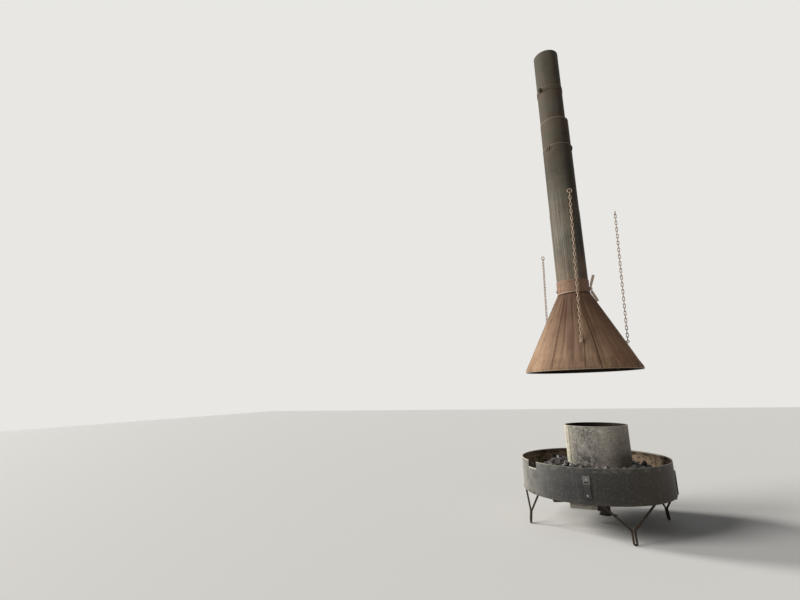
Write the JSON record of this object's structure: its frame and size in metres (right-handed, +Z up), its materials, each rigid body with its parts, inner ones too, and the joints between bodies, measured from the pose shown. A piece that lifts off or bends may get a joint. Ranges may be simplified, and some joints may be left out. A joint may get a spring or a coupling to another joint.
{
  "type": "round blacksmith forge with hood and stack",
  "caption": "Round workshop forge: plate hearth pan on hairpin legs, open fire drum with coke, conical sheet hood on chains, sectional smoke stack with a butterfly damper.",
  "frame": {"origin": "on the floor under the centre of the hearth pan, stack and hood", "axes": "+Z up along the stack, -Y towards the working side, +X towards the damper lever"},
  "size_m": [1.7246, 1.7246, 6.6],
  "materials": {
    "pan_steel": "matt weathered plate",
    "leg_steel": "matt rusted bar",
    "drum_steel": "matt heat-stained sheet",
    "hearth_iron": "rough casting",
    "coal": "dull broken coal",
    "hood_sheet": "rust-streaked sheet",
    "collar_sheet": "red-brown rusted band",
    "stack_sheet": "dull galvanised sheet",
    "bright_steel": "worn bright bar and chain"
  },
  "bodies": {
    "forge": {"pan_wall_left": "pan_steel", "pan_wall_right": "pan_steel", "pan_floor": "pan_steel", "strap_front": "pan_steel", "strap_back": "pan_steel", "strap_right": "pan_steel", "strap_left": "pan_steel", "leg_1": "leg_steel", "leg_2": "leg_steel", "leg_3": "leg_steel", "leg_4": "leg_steel", "bearers": "leg_steel", "fire_pot": "hearth_iron", "air_trunk": "hearth_iron", "ash_gate": "hearth_iron", "blast_pipe": "stack_sheet", "coal_bed": "coal", "drum_shell": "drum_steel", "drum_seam": "drum_steel", "drum_bead": "drum_steel", "grate": "hearth_iron", "coke_bed": "coal", "hood_gores": "hood_sheet", "hood_seams": "hood_sheet", "hood_rim": "hood_sheet", "hood_collar": "collar_sheet", "hood_eyes": "leg_steel", "stack_1": "stack_sheet", "stack_2": "stack_sheet", "stack_reducer": "stack_sheet", "stack_3": "stack_sheet", "stack_4": "stack_sheet", "stack_5": "stack_sheet", "stack_band": "stack_sheet", "stack_lugs": "stack_sheet", "damper_bosses": "leg_steel", "chain_front": "bright_steel", "chain_right": "bright_steel", "chain_left": "bright_steel", "chain_rings": "bright_steel"},
    "damper": {"damper_blade": "leg_steel", "damper_spindle": "bright_steel", "damper_lever": "bright_steel"}
  },
  "joints": [
    {"name": "damper_turn", "type": "hinge", "parent": "forge", "child": "damper", "pos_m": [0, 0, 2.893], "axis": [1, 0, 0], "range_deg": [0, 90]}
  ]
}
